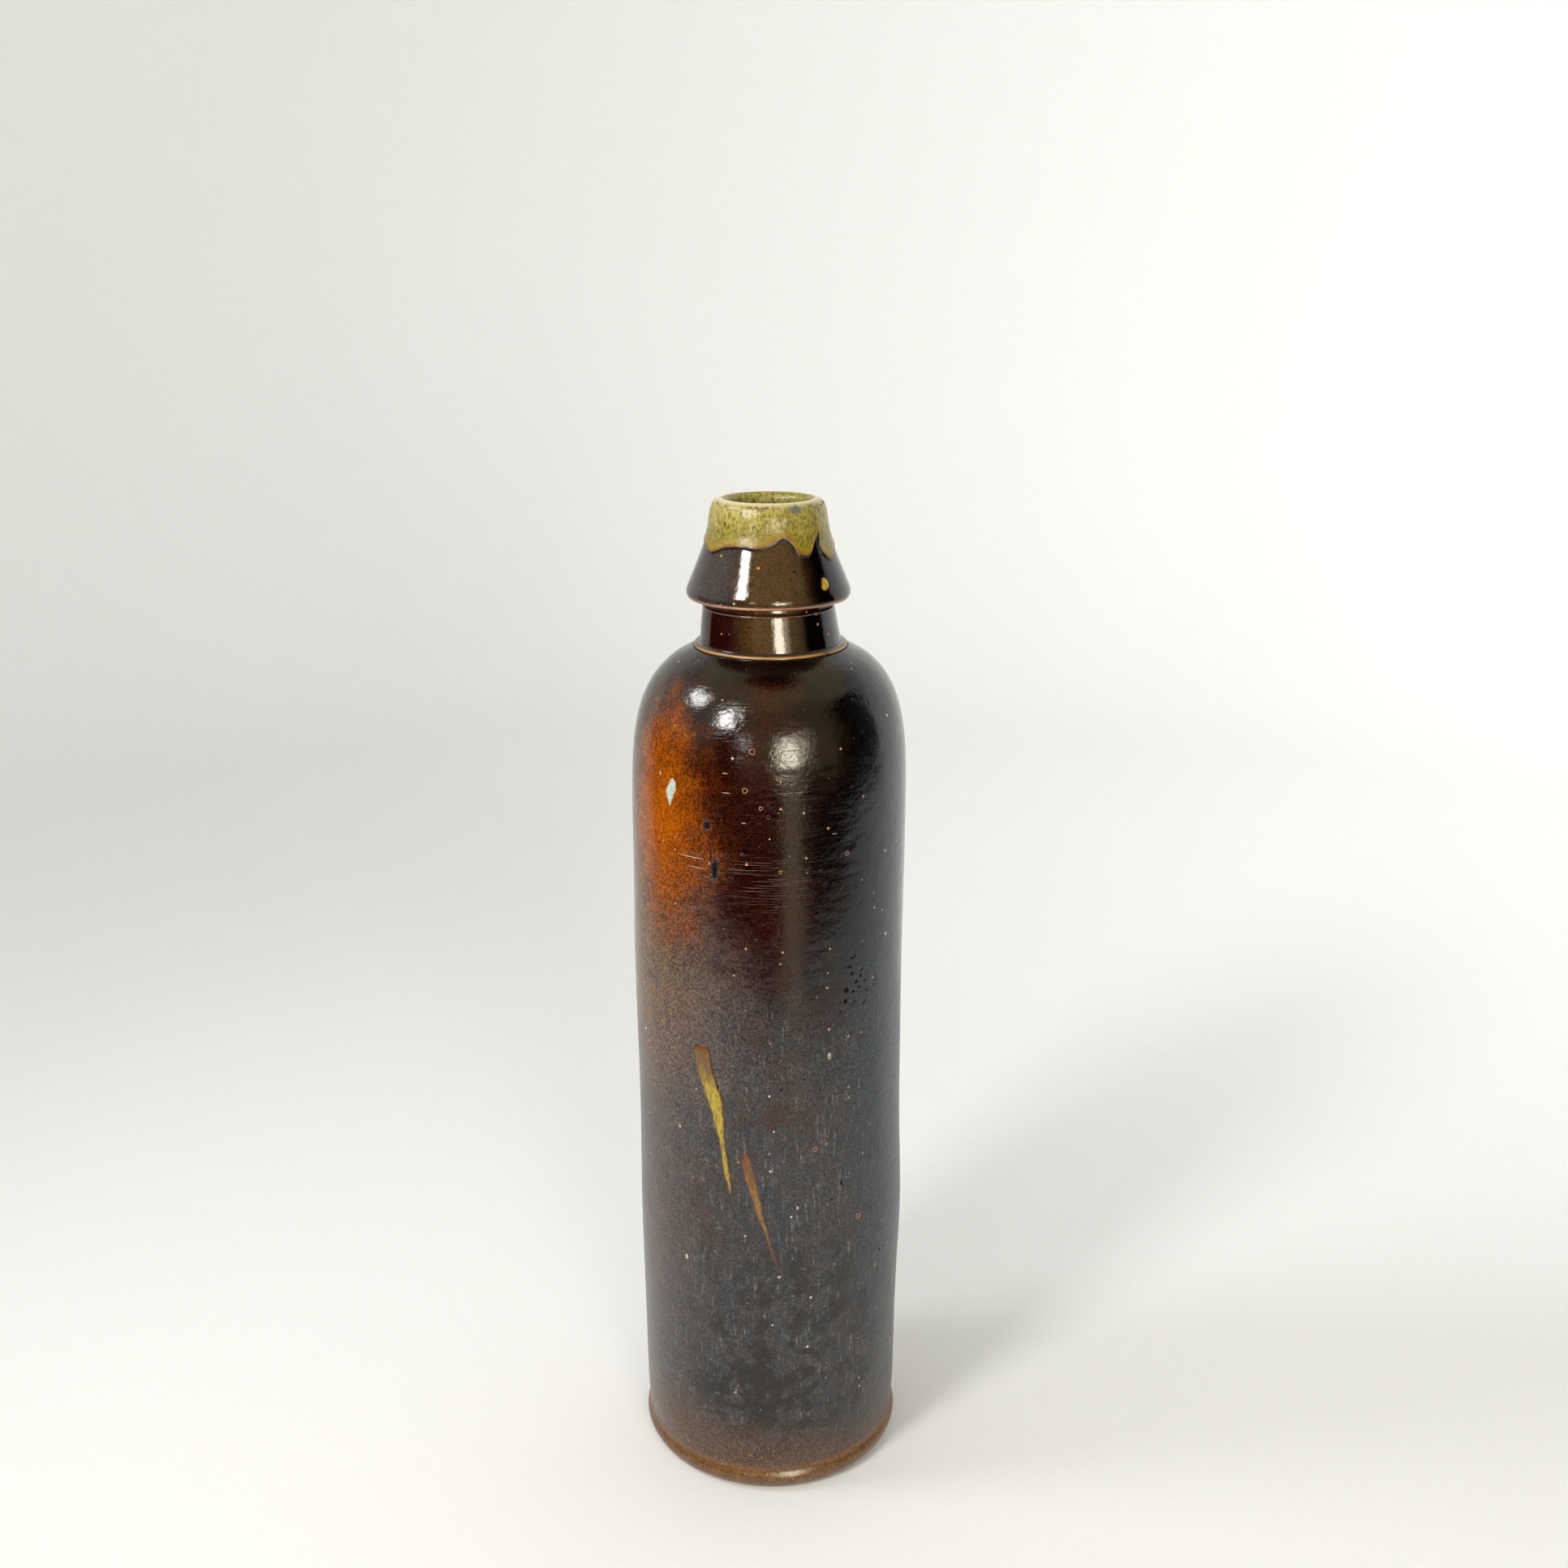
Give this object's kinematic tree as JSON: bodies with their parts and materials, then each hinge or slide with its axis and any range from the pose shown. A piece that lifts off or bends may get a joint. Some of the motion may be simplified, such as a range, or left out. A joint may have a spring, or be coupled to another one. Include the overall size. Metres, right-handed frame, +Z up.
{
  "type": "sake bottle",
  "caption": "Tall candle-shaped stoneware sake bottle: straight round body, short neck with a ring, flaring umbrella mouth, dark iron glaze, ash glaze running from the lip.",
  "frame": {"origin": "middle of the foot's flat resting face", "axes": "+Z up along the bottle's axis, from foot to mouth; -Y is the side with the long and the short ash run"},
  "size_m": [0.0756, 0.076, 0.28],
  "materials": {
    "stoneware": "bare fired stoneware, rough, flashed brown-orange",
    "slip": "fired slip in the luted seams",
    "iron_glaze": "glossy dark brown-black iron glaze, mottled amber, red-brown and violet-grey",
    "ash_glaze": "glossy speckled olive-yellow ash glaze",
    "pale_scab": "pale grey-green scab stuck in the firing, half matt"
  },
  "bodies": {
    "root": {"foot_disc": "stoneware", "foot_seam_slip": "slip", "lower_wall": "stoneware", "waist_seam_slip": "slip", "shoulder_wall": "stoneware", "neck_seam_slip": "slip", "neck_tube": "stoneware", "neck_ring": "stoneware", "collar_seam_slip": "slip", "umbrella_collar": "stoneware", "lip_seam_slip": "slip", "mouth_lip": "stoneware", "iron_glaze_body": "iron_glaze", "iron_glaze_neck": "iron_glaze", "iron_glaze_collar": "iron_glaze", "ash_glaze_cap": "ash_glaze", "ash_glaze_run_long": "ash_glaze", "ash_glaze_run_short": "ash_glaze", "ash_glaze_drop": "ash_glaze", "pale_flake": "pale_scab"}
  },
  "joints": []
}
